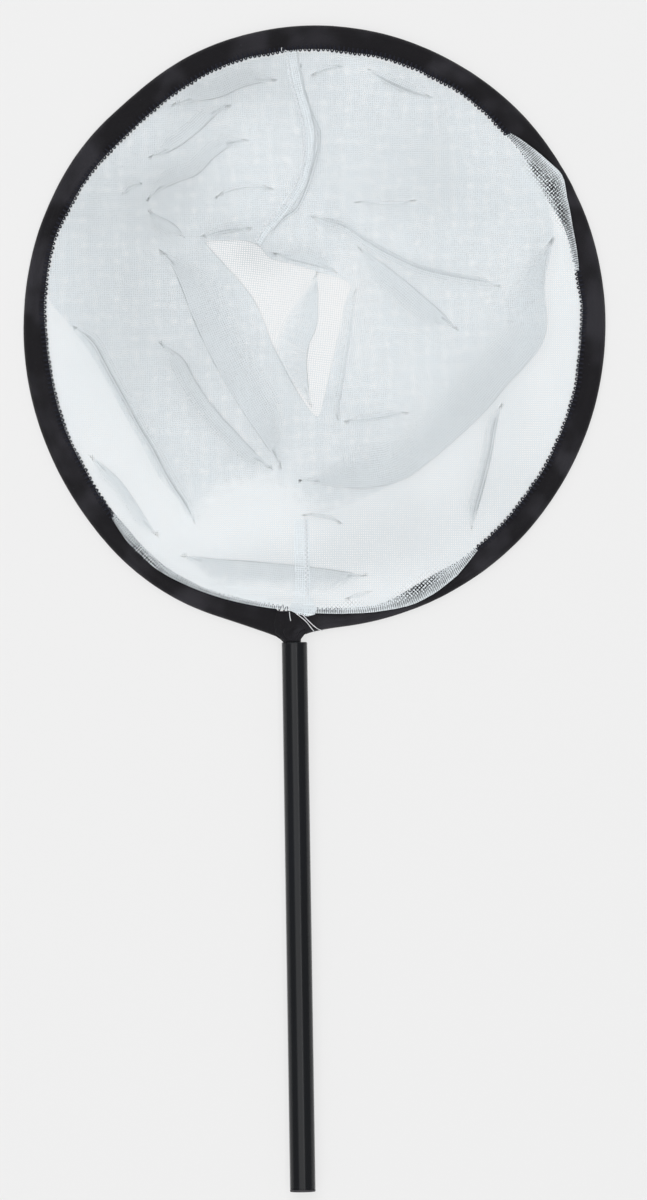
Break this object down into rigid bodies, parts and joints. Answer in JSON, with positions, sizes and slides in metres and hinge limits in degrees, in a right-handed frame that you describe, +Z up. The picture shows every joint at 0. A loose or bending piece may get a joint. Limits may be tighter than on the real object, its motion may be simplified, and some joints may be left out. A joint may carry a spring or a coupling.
{
  "type": "scoop net",
  "caption": "Hand net with a round wire hoop in a black cloth hem, a folded white mesh bag and a straight black tube handle, lying flat.",
  "frame": {"origin": "on the floor under the middle of the whole net as it lies flat", "axes": "+Y from the butt of the handle towards the hoop, along the handle; +Z up, out of the mouth of the hoop; +X to the right in the picture"},
  "size_m": [0.2908, 0.5822, 0.0127],
  "materials": {
    "painted_tube": "satin black paint",
    "black_plastic": "matte",
    "steel_wire": "drawn wire",
    "black_cloth": "close plain weave with a soft sheen",
    "navy_thread": "overlocked thread",
    "white_mesh": "fine see-through mesh",
    "white_seam": "sewn double mesh"
  },
  "bodies": {
    "handle": {"handle_tube": "painted_tube", "butt_plug": "black_plastic"},
    "plug": {"leg_plug": "black_plastic"},
    "head": {"hoop_wire": "steel_wire", "hem_casing": "black_cloth", "hem_stitching": "navy_thread", "neck_cover": "black_cloth", "net_left": "white_mesh", "net_right": "white_mesh", "net_seam_far": "white_seam", "net_seam_near": "white_seam"}
  },
  "joints": [
    {"name": "handle_twist", "type": "hinge", "parent": "handle", "child": "plug", "pos_m": [-0.01242, -0.04085, 0.00635], "axis": [0, 1, 0], "continuous": true},
    {"name": "head_pull", "type": "slide", "parent": "plug", "child": "head", "axis": [0, 1, 0], "range_m": [0, 0.06]}
  ]
}
